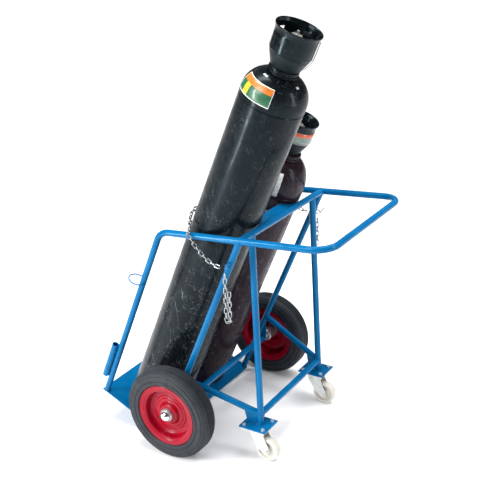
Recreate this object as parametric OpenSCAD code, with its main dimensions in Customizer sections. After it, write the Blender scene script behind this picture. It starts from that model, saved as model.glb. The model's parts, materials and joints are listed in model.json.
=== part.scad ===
// Oxy acetylene torch cart: welded tube frame with a toe plate, two main wheels, two castors,
// two gas cylinders held by chains, a rod socket and a rod ring.

/* [Frame] */
// Outside diameter of the frame tube
tube_d = 25; // [22:0.5:28]
// Distance between the centre lines of the side rails
rail_w = 620; // [590:1:660]
// Backward lean of the uprights and cylinders, from vertical
lean = 23.5; // [20:0.5:27]
// Upward slope of the side rails towards the handle
rail_rise = 4.1; // [0:0.1:6]
// Depth from the front uprights to the back tubes, across the lean
bed_depth = 303; // [290:1:330]
// Length of the back tubes from the toe plate to the top crossbar
back_len = 980; // [940:5:1040]
// Handle distance behind the wheel axle
handle_x = 631; // [580:1:700]
// Centre line radius of the handle corners
handle_r = 75; // [60:1:100]
// Centre line radius of the front bends
front_r = 60; // [50:1:80]

/* [Toe plate] */
// Width of the toe plate
plate_w = 640; // [620:1:650]
// Thickness of the toe plate
plate_t = 5; // [3:0.5:6]

/* [Main wheels] */
// Outside diameter of the tyre
wheel_d = 370; // [350:1:390]
// Width of the tyre
tyre_w = 83; // [70:1:86]
// Distance between the wheel centre planes
track = 758; // [750:1:800]
// Outside diameter of the rim flange
rim_d = 250; // [230:1:260]
// Diameter of the axle bar
axle_d = 20; // [16:1:22]

/* [Castors] */
// Diameter of the castor wheel
castor_d = 96; // [80:1:100]
// Width of the castor wheel
castor_w = 32; // [28:1:36]
// Castor swivel axis behind the wheel axle
castor_x = 305; // [298:1:312]
// Distance between the castor swivel axes
castor_track = 478; // [460:1:490]
// Distance from the swivel axis to the castor wheel axle
trail = 43; // [36:1:46]
// Height of the top of the castor plates
castor_h = 149; // [145:1:155]

/* [Cylinders] */
// Diameter of the tall cylinder
tall_d = 235; // [220:1:236]
// Length of the tall cylinder up to its shoulder
tall_len = 1450; // [1300:5:1500]
// Diameter of the short cylinder
short_d = 224; // [210:1:236]
// Length of the short cylinder up to its shoulder
short_len = 1018; // [950:5:1150]
// Sideways place of the tall cylinder
tall_y = -174; // [-175:1:-170]
// Sideways place of the short cylinder
short_y = 128; // [122:1:150]

/* [Chains] */
// Wire diameter of the chain links
link_wire = 4; // [3:0.5:4.5]
// Inner length of a chain link
link_in = 20; // [18:1:24]

/* [Hidden] */
$fn = 64;

tube_r = tube_d / 2;
half_w = rail_w / 2;
axle_z = wheel_d / 2;
axle_up = 193;
u_dir = [sin(lean), 0, cos(lean)];
v_dir = [cos(lean), 0, -sin(lean)];
r_dir = [cos(rail_rise), 0, sin(rail_rise)];
bed_0 = [0, 0, axle_z] - v_dir * tube_d - u_dir * axle_up;
bar_c = bed_0 + u_dir * back_len;
front_0 = bed_0 - v_dir * bed_depth;
turn_a = 90 - lean - rail_rise;
front_t = (bar_c - front_0) * [-sin(rail_rise), 0, cos(rail_rise)] / sin(turn_a);
corner_f = front_0 + u_dir * front_t;
front_cut = front_r * tan(turn_a / 2);
lap = 0.5;
cope_d = tube_d + 0.2;
grip_y = half_w - handle_r + lap;
corner_h = bar_c + r_dir * ((handle_x - bar_c[0]) / r_dir[0]);
plate_front = 318;
plate_back = 15;
front_x = (bed_0 - v_dir * plate_front)[0];
mid_x = (front_x + handle_x + tube_r) / 2;

leg_top_y = 230;
leg_foot = [castor_x + 13, castor_track / 2, castor_h];
leg_head = [bar_c[0], leg_top_y, bar_c[2]];
low_f = (193 - leg_foot[2]) / (leg_head[2] - leg_foot[2]);
low_b = leg_foot + (leg_head - leg_foot) * low_f;
low_up = 309;
low_a = bed_0 + u_dir * low_up + [0, half_w, 0];

foot_t = 5;
foot_l = 114;
foot_w = 102;
head_t = 5;
bolt_x = 41;
bolt_y = 36;
race_h = 14;
fork_top = castor_h - foot_t - head_t - race_h;
castor_r = castor_d / 2;
pin_d = 12;
castor_axle_d = 10;
run_c = 0.05;
cyl_gap = 3;
wall_t = 6;
tall_shoulder = 86;
short_shoulder = 112;
neck_r = 41;
guard_h = 140;
tall_guard_d = 152;
short_guard_d = 132;
stem_r = 14;
outlet_r = 10.3;

module place() { translate([-mid_x, 0, 0]) children(); }
module bed() { place() translate(bed_0) rotate([0, lean, 0]) children(); }
module side(s) { if (s > 0) children(); else mirror([0, 1, 0]) children(); }

// round bar between two points
module bar(a, b, d) {
  v = b - a;
  l = norm(v);
  translate(a) rotate([0, acos(v[2] / l), atan2(v[1], v[0])]) cylinder(d = d, h = l);
}

// straight bar that runs past both points
module long_bar(a, b, d, past) {
  v = (b - a) / norm(b - a);
  bar(a - v * past, b + v * past, d);
}

// a bend a hair slimmer than the straights, which run a little into it
module bend(r, a) {
  rotate_extrude(angle = a, $fn = 96) translate([r, 0]) circle(d = tube_d - 0.04, $fn = 48);
}

module hoop_side() {
  c0 = corner_f - u_dir * front_cut;
  c1 = corner_f + r_dir * front_cut;
  h0 = corner_h - r_dir * handle_r;
  translate([0, -half_w, 0]) {
    bar(front_0, c0 + u_dir * lap, tube_d);
    bar(c1 - r_dir * lap, h0 + r_dir * lap, tube_d);
  }
  translate(c0 + [0, -half_w, 0] + v_dir * front_r) rotate([0, lean, 0]) rotate([-90, 0, 0])
    rotate([0, 0, 180]) bend(front_r, turn_a);
  translate(h0 + [0, handle_r - half_w, 0]) rotate([0, -rail_rise, 0]) rotate([0, 0, -90])
    bend(handle_r, 90);
}

module hoop_tube() {
  color([0.04, 0.5, 0.78]) place() {
    hoop_side();
    mirror([0, 1, 0]) hoop_side();
    bar(corner_h - [0, grip_y, 0], corner_h + [0, grip_y, 0], tube_d);
  }
}

module rail_cut() { place() translate([0, half_w, 0]) long_bar(corner_f, corner_h, cope_d, 0); }
module back_cut(d = cope_d) { bed() translate([0, half_w, -50]) cylinder(d = d, h = back_len + 100); }
module leg_line(d = cope_d) { place() long_bar(leg_head, leg_foot, d, 10); }
module low_cut(past = 10) { place() long_bar(low_a, low_b, cope_d, past); }
module bar_cut() { place() bar(bar_c - [0, half_w, 0], bar_c + [0, half_w, 0], cope_d); }

module top_crossbar() {
  color([0.04, 0.5, 0.78]) difference() {
    place() bar(bar_c - [0, half_w, 0], bar_c + [0, half_w, 0], tube_d);
    rail_cut();
    mirror([0, 1, 0]) rail_cut();
  }
}

module back_tube(s) {
  color([0.04, 0.5, 0.78]) side(s) difference() {
    bed() translate([0, half_w, 0]) cylinder(d = tube_d, h = back_len);
    rail_cut();
    bar_cut();
  }
}

module leg(s) {
  color([0.04, 0.5, 0.78]) side(s) difference() {
    leg_line(tube_d);
    bar_cut();
    place() translate([castor_x, leg_foot[1], castor_h - 20]) cube([200, 100, 40], center = true);
    place() translate([castor_x, leg_foot[1], bar_c[2] + 15]) cube([200, 100, 30], center = true);
  }
}

module low_rail(s) {
  color([0.04, 0.5, 0.78]) side(s) difference() {
    place() bar(low_a, low_b, tube_d);
    back_cut();
    leg_line();
  }
}

module low_crossbar() {
  color([0.04, 0.5, 0.78]) difference() {
    place() bar([low_b[0], -low_b[1], low_b[2]], low_b, tube_d);
    for (s = [-1, 1]) side(s) {
      leg_line();
      low_cut(0);
    }
  }
}

// scalloped plate on the top crossbar that the cylinders lean against
module cradle_plate() {
  d = tube_r + 34;
  color([0.04, 0.45, 0.7]) difference() {
    bed() translate([-d, tall_y, back_len - 3]) cube([d, short_y - tall_y, 6]);
    bed() translate(tall_c) cylinder(d = tall_d + 3, h = back_len + 50, $fn = 128);
    bed() translate(short_c) cylinder(d = short_d + 3, h = back_len + 50, $fn = 128);
    bar_cut();
  }
}

module toe_plate() {
  color([0.04, 0.45, 0.7]) bed() translate([-plate_front, -plate_w / 2, -plate_t])
    cube([plate_front + plate_back, plate_w, plate_t]);
}

axle_end = track / 2 + tyre_w / 2 + 1;
housing_y = half_w + 14;

module axle_line(d, y) {
  place() translate([0, 0, axle_z]) rotate([90, 0, 0]) cylinder(d = d, h = 2 * y, center = true);
}

module axle_housing() {
  color([0.04, 0.5, 0.78]) difference() {
    axle_line(tube_d, housing_y);
    axle_line(axle_d + 0.2, housing_y + 1);
    for (s = [-1, 1]) side(s) back_cut();
  }
}

module axle_bar() { color([0.6, 0.6, 0.62]) axle_line(axle_d, axle_end - 3); }

module axle_gusset(s) {
  color([0.04, 0.5, 0.78]) side(s) difference() {
    bed() translate([0, half_w + 3, 0]) rotate([90, 0, 0]) linear_extrude(6)
      polygon([[8, axle_up - 56], [tube_d + 4, axle_up - 32], [tube_d + 16, axle_up - 8],
        [tube_d + 16, axle_up + 8], [tube_d + 4, axle_up + 46], [8, axle_up + 84]]);
    back_cut();
    axle_line(cope_d, housing_y);
    low_cut(20);
  }
}

// pressed dome cap on the end of the axle bar
module axle_cap(s) {
  cap_r = 20;
  color([0.85, 0.86, 0.88]) side(s) place() translate([0, axle_end - 3, axle_z]) rotate([-90, 0, 0])
    difference() {
      intersection() {
        translate([0, 0, -8]) sphere(r = cap_r + 3, $fn = 64);
        cylinder(r = cap_r, h = 30);
      }
      translate([0, 0, -1]) cylinder(d = 6, h = 3);
    }
}

module castor_plate(s) {
  color([0.04, 0.45, 0.7]) side(s) place() difference() {
    translate([castor_x, castor_track / 2, castor_h - foot_t / 2]) cube([foot_l, foot_w, foot_t],
      center = true);
    translate([castor_x, castor_track / 2, castor_h - foot_t - 1]) cylinder(d = 24, h = foot_t + 2);
    bolt_spots() translate([0, 0, castor_h - foot_t - 1]) cylinder(d = 8.4, h = foot_t + 2, $fn = 32);
  }
}

module bolt_spots() {
  for (x = [-bolt_x, bolt_x], y = [-bolt_y, bolt_y]) translate([castor_x + x, castor_track / 2 + y, 0])
    children();
}

module castor_head(s) {
  color([0.75, 0.75, 0.74]) side(s) place() difference() {
    union() {
      translate([castor_x, castor_track / 2, castor_h - foot_t - head_t / 2])
        cube([foot_l - 8, foot_w - 8, head_t], center = true);
      translate([castor_x, castor_track / 2, fork_top + 0.3]) rotate_extrude()
        polygon([[0, 0], [24, 0], [28, 4], [28, 8], [34, race_h], [0, race_h]]);
    }
    translate([castor_x, castor_track / 2, 0]) cylinder(d = pin_d + 2 * run_c, h = castor_h);
    translate([castor_x, castor_track / 2, castor_h - foot_t - head_t + 1]) cylinder(d = 22, h = 10);
    bolt_spots() translate([0, 0, fork_top + 5]) cylinder(d = 8.4, h = 30, $fn = 32);
  }
}

module castor_bolts() {
  color([0.8, 0.8, 0.8]) for (s = [-1, 1]) side(s) place() bolt_spots() {
    translate([0, 0, castor_h - foot_t - head_t - 12]) cylinder(d = 8, h = foot_t + head_t + 12, $fn = 32);
    translate([0, 0, castor_h]) cylinder(d = 15, h = 5.5, $fn = 6);
  }
}

module castor_nuts() {
  nut_z = castor_h - foot_t - head_t - 6.5;
  color([0.8, 0.8, 0.8]) for (s = [-1, 1]) side(s) place() bolt_spots() translate([0, 0, nut_z])
    difference() {
      cylinder(d = 15, h = 6.5, $fn = 6);
      translate([0, 0, -1]) cylinder(d = 8.1, h = 9, $fn = 32);
    }
}

// upright plate between the castor plate and the low rail, just ahead of the leg
module foot_gusset(s) {
  plan_a = atan2(low_a[1] - low_b[1], low_a[0] - low_b[0]);
  rise = (low_a[2] - low_b[2]) / norm([low_a[0] - low_b[0], low_a[1] - low_b[1]]);
  color([0.04, 0.5, 0.78]) side(s) difference() {
    place() translate([low_b[0], low_b[1], castor_h]) rotate([0, 0, plan_a]) translate([0, 2.5, 0])
      rotate([90, 0, 0]) linear_extrude(5)
        polygon([[4, 0], [52, 0], [66, low_b[2] - castor_h + 66 * rise],
          [4, low_b[2] - castor_h + 4 * rise]]);
    leg_line();
    low_cut();
    place() bolt_spots() cylinder(d = 17, h = castor_h + 9);
  }
}

socket_z = 78;
socket_l = 167;
socket_d = 27;

module rod_socket() {
  color([0.04, 0.5, 0.78]) difference() {
    bed() translate([-bed_depth, -half_w, 0]) rotate([0, 0, 205])
      translate([tube_r + socket_d / 2 - 0.5, 0, socket_z])
      difference() {
        cylinder(d = socket_d, h = socket_l);
        translate([0, 0, 4]) cylinder(d = socket_d - 5, h = socket_l);
      }
    bed() translate([-bed_depth, -half_w, 0]) cylinder(d = tube_d, h = back_len);
  }
}

ring_z = 583;
ring_r = 32;
wire_d = 5;

module rod_ring() {
  color([0.04, 0.5, 0.78]) difference() {
    bed() translate([-bed_depth, -half_w, ring_z]) rotate([0, 0, 205])
      translate([tube_r + socket_d / 2 - 0.5, 0, 0])
      rotate_extrude($fn = 96) translate([ring_r, 0]) circle(d = wire_d, $fn = 32);
    bed() translate([-bed_depth, -half_w, 0]) cylinder(d = tube_d, h = back_len);
  }
}

// chain: links set along a hand-made route, each turned a quarter against the last
function seg(p) = [for (i = [1:len(p) - 1]) norm(p[i] - p[i - 1])];
function run(s, i) = i <= 0 ? 0 : s[i - 1] + run(s, i - 1);
function at(p, s, d, i = 0) = (i >= len(s) - 1 || d <= s[i]) ? p[i] + (p[i + 1] - p[i]) * (d / s[i])
  : at(p, s, d - s[i], i + 1);
function arc(c, r, a0, a1, z0, z1, n) = [for (i = [0:n]) let(a = a0 + (a1 - a0) * i / n)
  [c[0] + r * cos(a), c[1] + r * sin(a), z0 + (z1 - z0) * i / n]];
function sag(a, b, drop, n) = [for (i = [1:n - 1]) let(t = i / n)
  a + (b - a) * t + down * (4 * drop * t * (1 - t))];

module link() {
  r = link_wire * 0.85 + link_wire / 2;
  h = (link_in + link_wire) / 2 - r;
  for (m = [0, 1]) mirror([0, 0, m]) {
    translate([0, 0, h]) rotate([90, 0, 0]) rotate_extrude(angle = 180, $fn = 32)
      translate([r, 0]) circle(d = link_wire, $fn = 16);
    for (x = [-r, r]) translate([x, 0, 0]) cylinder(d = link_wire, h = h, $fn = 16);
  }
}

module chain(p) {
  s = seg(p);
  pitch = link_in - 1;
  n = floor(run(s, len(s)) / pitch);
  for (i = [0:n - 1]) {
    a = at(p, s, i * pitch);
    b = at(p, s, (i + 1) * pitch);
    v = (b - a) / norm(b - a);
    translate((a + b) / 2) rotate([0, acos(v[2]), atan2(v[1], v[0])])
      rotate([0, 0, 90 * (i % 2) + 45]) link();
  }
}

tall_c = [-tube_r - cyl_gap - tall_d / 2, tall_y, 0];
short_c = [-tube_r - cyl_gap - short_d / 2, short_y, 0];
down = [sin(lean), 0, -cos(lean)];
lug_z = 872;
wrap = 10.5;
over = [-196, -half_w - 2, 908];
near_lug = [2, -half_w - tube_r - 13, lug_z];
near_end = near_lug + [-12, -3, -6];
near_route = concat([[-16, -24, 952], [-40, -26, 950], [-80, -38, 944]],
  arc(tall_c, tall_d / 2 + wrap, 70, 212, 940, 906, 12), [over, over + [12, -22, -8]],
  sag(over + [12, -22, -8], near_end, 28, 8), [near_end]);
tail_top = near_lug + [4, -9, -17];
tail_route = concat([tail_top, tail_top + down * 178],
  [for (a = [20:20:160]) tail_top + down * (178 + 9 * sin(a)) + [9 - 9 * cos(a), 0, 0]],
  [tail_top + down * 178 + [18, 0, 0], tail_top + down * 60 + [17, 0, 0]]);
far_lug = [2, half_w + tube_r + 13, lug_z];
far_route = concat([[-16, 24, 950], [-50, 14, 942]],
  arc(short_c, short_d / 2 + wrap, -80, -250, 938, 900, 14),
  [[-70, 262, 884], [-24, 292, 872], far_lug - [16, 16, 2]]);
far_tail = [far_lug + [22, 0, -22], far_lug + [22, 0, -22] + down * 118];

module chain_left() { color([0.7, 0.7, 0.7]) bed() { chain(near_route); chain(tail_route); } }
module chain_right() { color([0.7, 0.7, 0.7]) bed() { chain(far_route); chain(far_tail); } }

module chain_lugs() {
  color([0.04, 0.5, 0.78]) {
    for (s = [-1, 1]) side(s) difference() {
      bed() translate([-2, half_w, lug_z]) difference() {
        cube([6, tube_r + 24, 22]);
        translate([-5, tube_r + 13, 11]) rotate([0, 90, 0]) cylinder(d = 8, h = 20, $fn = 32);
      }
      back_cut();
    }
    difference() {
      bed() translate([-24, -12, back_len - 34]) cube([14, 24, 26]);
      bar_cut();
      bed() translate([-17, 0, back_len - 26]) rotate([90, 0, 0])
        cylinder(d = 9, h = 60, center = true, $fn = 32);
    }
  }
}

// open hook through the far lug, with the spare end of the chain on it
module chain_hooks() {
  color([0.7, 0.7, 0.7]) bed() translate(far_lug + [13, 0, 4]) {
    rotate([90, 0, 0]) rotate_extrude(angle = 300, $fn = 48) translate([9, 0]) circle(d = 4, $fn = 16);
    translate([9, 0, 0]) rotate([0, 14, 0]) cylinder(d = 4, h = 30, $fn = 16);
  }
}

// main wheel
module on_axle(s) { side(s) place() translate([0, track / 2, axle_z]) rotate([-90, 0, 0]) children(); }

bead_r = rim_d / 2 - 20;
tread_r = wheel_d / 2;
half_t = tyre_w / 2;

module tyre(s) {
  color([0.12, 0.12, 0.13]) on_axle(s) rotate_extrude($fn = 128)
    polygon([[bead_r, -half_t + 8.2], [rim_d / 2 + 1.5, -half_t + 6.5], [rim_d / 2 + 4, -half_t + 1],
      [rim_d / 2 + 16, -half_t], [tread_r - 22, -half_t], [tread_r - 9, -half_t + 4],
      [tread_r - 2, -half_t + 14],
      [tread_r, -half_t + 24], [tread_r, half_t - 24], [tread_r - 2, half_t - 14], [tread_r - 9, half_t - 4],
      [tread_r - 22, half_t], [rim_d / 2 + 16, half_t], [rim_d / 2 + 4, half_t - 1],
      [rim_d / 2 + 1.5, half_t - 6.5],
      [bead_r, half_t - 8.2]]);
}

// pressed dish and barrel, with a flange on each side
module rim(s) {
  f = rim_d / 2;
  b = bead_r - 5;
  e = half_t - 5.4;
  color([0.75, 0.04, 0.08]) on_axle(s) rotate_extrude($fn = 128)
    polygon([[26.1, 14], [58, 14], [66, 8], [76, 8], [84, 2], [b - 4, 2], [b, 6], [b, e - 3],
      [f - 13, e + 1], [f - 3, e + 2], [f, e],
      [f - 4, e - 1], [bead_r, e - 2.6], [bead_r, -e + 2.6], [f - 4, -e + 1], [f, -e], [f - 3, -e - 2],
      [f - 13, -e - 1],
      [b, -e + 3], [b, -2], [83, -2], [75, 4], [65, 4], [57, 10], [26.1, 10]]);
}

module hub(s) {
  color([0.5, 0.5, 0.5]) on_axle(s) rotate_extrude($fn = 64)
    polygon([[axle_d / 2 + run_c, -half_t + 3], [22, -half_t + 3], [26, -half_t + 8], [26, half_t - 8],
      [22, half_t - 3],
      [axle_d / 2 + run_c, half_t - 3]]);
}

// castor
module on_castor(s) { side(s) place() translate([castor_x, castor_track / 2, 0]) children(); }

cheek_y = castor_w / 2 + 2.5;
cheek_t = 3;

module fork(s) {
  color([0.78, 0.78, 0.76]) on_castor(s) difference() {
    union() {
      translate([0, 0, fork_top - 16]) cylinder(r1 = 26, r2 = 24, h = 16);
      for (m = [0, 1]) mirror([0, m, 0]) translate([0, cheek_y + cheek_t, 0]) rotate([90, 0, 0])
        linear_extrude(cheek_t) polygon([[-25, fork_top - 3], [27, fork_top - 3], [trail - 8, fork_top - 20],
          [trail + 12, castor_r + 12], [trail + 13, castor_r - 4], [trail + 8, castor_r - 12],
          [trail, castor_r - 15],
          [trail - 9, castor_r - 13], [trail - 34, castor_r + 6], [-16, fork_top - 32],
          [-24, fork_top - 20]]);
      translate([-22, -cheek_y - 1, fork_top - 18]) cube([42, 2 * cheek_y + 2, 4]);
    }
    translate([0, 0, fork_top - 30]) cylinder(d = pin_d, h = 40);
    translate([trail, 0, castor_r]) rotate([90, 0, 0]) cylinder(d = castor_axle_d, h = 100, center = true);
    translate([trail, 0, castor_r]) rotate([90, 0, 0])
      cylinder(r = castor_r + 3, h = castor_w + 5, center = true);
  }
}

module kingpin(s) {
  color([0.8, 0.8, 0.8]) on_castor(s) {
    translate([0, 0, fork_top - 15]) cylinder(d = pin_d, h = castor_h - foot_t - fork_top + 15 - 3.6);
    translate([0, 0, castor_h - foot_t - 3.6]) cylinder(d = 20, h = 5);
  }
}

module castor_axle(s) {
  w = cheek_y + cheek_t;
  color([0.8, 0.8, 0.8]) on_castor(s) translate([trail, 0, castor_r]) rotate([90, 0, 0]) {
    cylinder(d = castor_axle_d, h = 2 * w, center = true, $fn = 48);
    translate([0, 0, w]) cylinder(d = 17, h = 6, $fn = 6);
    mirror([0, 0, 1]) translate([0, 0, w]) cylinder(d = 17, h = 7, $fn = 6);
  }
}

module castor_wheel(s) {
  c = castor_w / 2;
  color([0.93, 0.92, 0.86]) on_castor(s) translate([trail, 0, castor_r]) rotate([-90, 0, 0])
    rotate_extrude($fn = 96)
    polygon([[castor_axle_d / 2 + run_c, -c], [14, -c], [16, -c + 6], [castor_r - 15, -c + 7],
      [castor_r - 12, -c],
      [castor_r - 5, -c], [castor_r - 1.5, -c + 4], [castor_r, -c + 10], [castor_r, c - 10],
      [castor_r - 1.5, c - 4],
      [castor_r - 5, c], [castor_r - 12, c], [castor_r - 15, c - 7], [16, c - 6], [14, c],
      [castor_axle_d / 2 + run_c, c]]);
}

// gas cylinders
black = [0.08, 0.09, 0.1];
maroon = [0.2, 0.05, 0.1];
brass = [0.75, 0.72, 0.6];

module tall_part(c = black) { color(c) bed() translate(tall_c) children(); }
module short_part(c = black) { color(c) bed() translate(short_c) children(); }

module shell(d, l, h) {
  r = d / 2;
  w = wall_t;
  arc_n = 12;
  rotate_extrude($fn = 128) polygon(concat([[0, 0.3], [r - 14, 0.3], [r - 4, 4], [r, 14]],
    [for (i = [0:arc_n]) let(a = 90 * i / arc_n) [neck_r + (r - neck_r) * cos(a), l + h * sin(a)]],
    [[neck_r - 9, l + h], [neck_r - 9, l + h + 8], [stem_r + 0.05, l + h + 8],
      [stem_r + 0.05, l + h - 22], [neck_r - 6, l + h - 14]],
    [for (i = [arc_n - 2:-1:0]) let(a = 90 * i / arc_n) [neck_r + (r - w - neck_r) * cos(a),
    l + (h - 12) * sin(a)]],
    [[r - w, 22], [r - 18, 10], [0, 10]]));
}

module neck_ring(l, h) {
  translate([0, 0, l + h]) rotate_extrude($fn = 96)
    polygon([[neck_r - 9, 0], [neck_r + 9, 0], [neck_r + 13, 2], [neck_r + 14, 9], [neck_r + 10.5, 11],
      [neck_r + 10.5, 14], [neck_r + 12.5, 16], [neck_r + 11.5, 22], [neck_r + 9, 24], [neck_r - 9, 24]]);
}

module guard(l, h, guard_d) {
  z = l + h + 24;
  t = 4.5;
  r = guard_d / 2;
  difference() {
    translate([0, 0, z]) rotate_extrude($fn = 96)
      polygon([[24, 0], [r - 25, 0], [r - 23, 2], [r - 4, 48], [r - 3.5, 53], [r - 0.5, 56],
        [r, guard_h - 26],
        [r + 2, guard_h - 13], [r + 6, guard_h - 4], [r + 6, guard_h], [r + 1, guard_h],
        [r - 2, guard_h - 11],
        [r - t, guard_h - 25], [r - t - 0.5, 58], [r - t - 4, 50], [r - t - 23, 7], [24, 7]]);
    translate([-120, -34, z + 57]) cube([120, 68, 53]);
  }
}

module valve(l, h) {
  z = l + h + 8;
  difference() {
    union() {
      translate([0, 0, z - 26]) cylinder(r = stem_r, h = 30);
      translate([0, 0, z]) cylinder(r = 23, h = 30);
      translate([0, 0, z + 30]) cylinder(r = 20, h = 88);
      translate([-13, 0, z + 94]) rotate([0, -90, 0]) cylinder(d = 32, h = 33);
      translate([0, 0, z + 116]) cylinder(r = 27, h = 7);
      translate([0, 0, z + 118]) cylinder(d = 40, h = 12, $fn = 6);
    }
    translate([0, 0, z + 104]) cylinder(d = 10 + 2 * run_c, h = 40);
    translate([-60, 0, z + 94]) rotate([0, 90, 0]) cylinder(r = outlet_r, h = 40);
  }
}

module spindle(l, h) {
  z = l + h + 8;
  translate([0, 0, z + 106]) cylinder(d = 10, h = 27, $fn = 48);
  translate([-4, -4, z + 133]) cube([8, 8, 12]);
}

hoop_tube();
top_crossbar();
back_tube(-1);  // back_tube_left
back_tube(1);  // back_tube_right
leg(-1);  // leg_left
leg(1);  // leg_right
low_rail(-1);  // low_rail_left
low_rail(1);  // low_rail_right
low_crossbar();
cradle_plate();
toe_plate();
axle_housing();
axle_bar();
axle_gusset(-1);  // axle_gusset_left
axle_gusset(1);  // axle_gusset_right
axle_cap(-1);  // axle_cap_left
axle_cap(1);  // axle_cap_right
castor_plate(-1);  // castor_plate_left
castor_plate(1);  // castor_plate_right
foot_gusset(-1);  // foot_gusset_left
foot_gusset(1);  // foot_gusset_right
castor_head(-1);  // castor_head_left
castor_head(1);  // castor_head_right
castor_bolts();
castor_nuts();
rod_socket();
rod_ring();
chain_lugs();
chain_left();
chain_right();
chain_hooks();
tyre(-1);  // tyre_left
rim(-1);  // rim_left
hub(-1);  // hub_left
tyre(1);  // tyre_right
rim(1);  // rim_right
hub(1);  // hub_right
fork(-1);  // fork_left
kingpin(-1);  // kingpin_left
castor_axle(-1);  // castor_axle_left
castor_wheel(-1);  // castor_wheel_left
fork(1);  // fork_right
kingpin(1);  // kingpin_right
castor_axle(1);  // castor_axle_right
castor_wheel(1);  // castor_wheel_right
tall_part() shell(tall_d, tall_len, tall_shoulder);  // tall_shell
tall_part() neck_ring(tall_len, tall_shoulder);  // tall_neck_ring
tall_part() guard(tall_len, tall_shoulder, tall_guard_d);  // tall_guard
tall_part(brass) valve(tall_len, tall_shoulder);  // tall_valve
tall_part(brass) spindle(tall_len, tall_shoulder);  // tall_spindle
short_part(maroon) shell(short_d, short_len, short_shoulder);  // short_shell
short_part() neck_ring(short_len, short_shoulder);  // short_neck_ring
short_part() guard(short_len, short_shoulder, short_guard_d);  // short_guard
short_part(brass) valve(short_len, short_shoulder);  // short_valve
short_part(brass) spindle(short_len, short_shoulder);  // short_spindle
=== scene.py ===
import json
import math
import bpy
import bmesh
from bpy.props import FloatProperty, FloatVectorProperty, IntProperty, PointerProperty
from mathutils import Matrix, Vector


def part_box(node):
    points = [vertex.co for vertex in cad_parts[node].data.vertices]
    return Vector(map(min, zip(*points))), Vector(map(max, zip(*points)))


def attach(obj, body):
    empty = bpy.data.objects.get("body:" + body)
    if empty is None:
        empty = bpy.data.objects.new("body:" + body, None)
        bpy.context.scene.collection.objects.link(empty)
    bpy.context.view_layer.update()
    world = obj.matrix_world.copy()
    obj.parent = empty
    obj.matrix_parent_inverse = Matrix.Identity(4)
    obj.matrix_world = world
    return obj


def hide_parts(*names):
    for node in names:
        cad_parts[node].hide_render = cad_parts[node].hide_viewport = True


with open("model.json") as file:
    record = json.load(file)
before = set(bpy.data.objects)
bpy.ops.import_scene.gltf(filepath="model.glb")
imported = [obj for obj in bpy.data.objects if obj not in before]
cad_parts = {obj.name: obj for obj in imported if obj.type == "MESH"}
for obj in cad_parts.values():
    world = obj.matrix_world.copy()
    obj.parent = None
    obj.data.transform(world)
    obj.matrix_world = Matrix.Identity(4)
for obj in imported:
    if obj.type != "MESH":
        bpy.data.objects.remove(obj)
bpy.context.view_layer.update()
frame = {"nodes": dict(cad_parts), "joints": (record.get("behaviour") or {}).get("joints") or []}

bl_info = {
    "name": "Gas cylinder cart",
    "version": (1, 0, 0),
    "blender": (4, 5, 0),
    "location": "3D View > Sidebar > Cart",
    "description": "Dresses a two-cylinder welding cart with its tyres, rims, castors, cylinders and paint",
    "category": "Add Mesh",
}

MM = 0.001
JOINT = {j["name"]: j for j in frame["joints"]}
UP = Vector(JOINT["tall_cylinder_lift"]["axis"])
LEAN = math.atan2(UP.x, UP.z)
ACROSS = Vector((math.cos(LEAN), 0, -math.sin(LEAN)))
SIDE = Vector((0, 1, 0))
JOIN = 1e-6
VALVE_RISE = 120 * MM


def linear(code):
    """Linear RGB of an sRGB hex colour such as '#0B74BC'."""
    parts = [int(code[i:i + 2], 16) / 255 for i in (1, 3, 5)]
    return tuple(c / 12.92 if c <= 0.04045 else ((c + 0.055) / 1.055) ** 2.4 for c in parts)


def colour(code, name, description):
    return FloatVectorProperty(name=name, description=description, subtype="COLOR", size=3, min=0, max=1,
                               default=linear(code))


def length(mm, name, description):
    return FloatProperty(name=name, description=description, default=mm * MM, min=0, subtype="DISTANCE",
                         unit="LENGTH", precision=4)


# ---------------------------------------------------------------- settings

class CartPaint(bpy.types.PropertyGroup):
    frame_blue: colour("#005D90", "Frame blue", "Stove enamel on the welded frame")
    rim_red: colour("#90001A", "Rim red", "Enamel on the pressed rims")
    tall_black: colour("#050B0F", "Tall cylinder", "Paint of the tall gas cylinder")
    short_maroon: colour("#22151C", "Short cylinder", "Paint of the short gas cylinder")
    rubber: colour("#1A1F24", "Tyre rubber", "Solid rubber of the main tyres")
    nylon: colour("#C8C5BB", "Castor nylon", "Moulded nylon of the castor wheels")


class WheelSizes(bpy.types.PropertyGroup):
    tyre_radius: length(185, "Tyre radius", "Outside radius of the main tyre")
    tyre_half_width: length(41.5, "Tyre half width", "Half the width of the main tyre")
    rim_radius: length(125, "Rim radius", "Outside radius of the rim flange")
    groove_depth: length(3.2, "Groove depth", "Depth of the grooves round the tread")
    castor_radius: length(48, "Castor radius", "Outside radius of a castor wheel")
    castor_width: length(32, "Castor width", "Width of a castor wheel")
    steps: IntProperty(name="Steps", description="Steps round a turned piece", default=96, min=24, max=160)


class CylinderSizes(bpy.types.PropertyGroup):
    tall_radius: length(117.5, "Tall radius", "Radius of the tall cylinder")
    tall_body: length(1450, "Tall body", "Height of the tall cylinder's shoulder above its foot")
    short_radius: length(112, "Short radius", "Radius of the short cylinder")
    short_body: length(1018, "Short body", "Height of the short cylinder's shoulder above its foot")
    tall_shoulder: length(86, "Tall shoulder", "Height of the tall cylinder's domed shoulder")
    short_shoulder: length(112, "Short shoulder", "Height of the short cylinder's domed shoulder")
    neck_radius: length(42, "Neck radius", "Radius of the neck ring")
    guard_height: length(140, "Guard height", "Height of the valve guard")
    tall_guard: length(76, "Tall guard", "Radius of the straight cup of the tall cylinder's valve guard")
    short_guard: length(66, "Short guard", "Radius of the straight cup of the short cylinder's valve guard")
    guard_wall: length(4, "Guard wall", "Wall of the valve guard")


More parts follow.
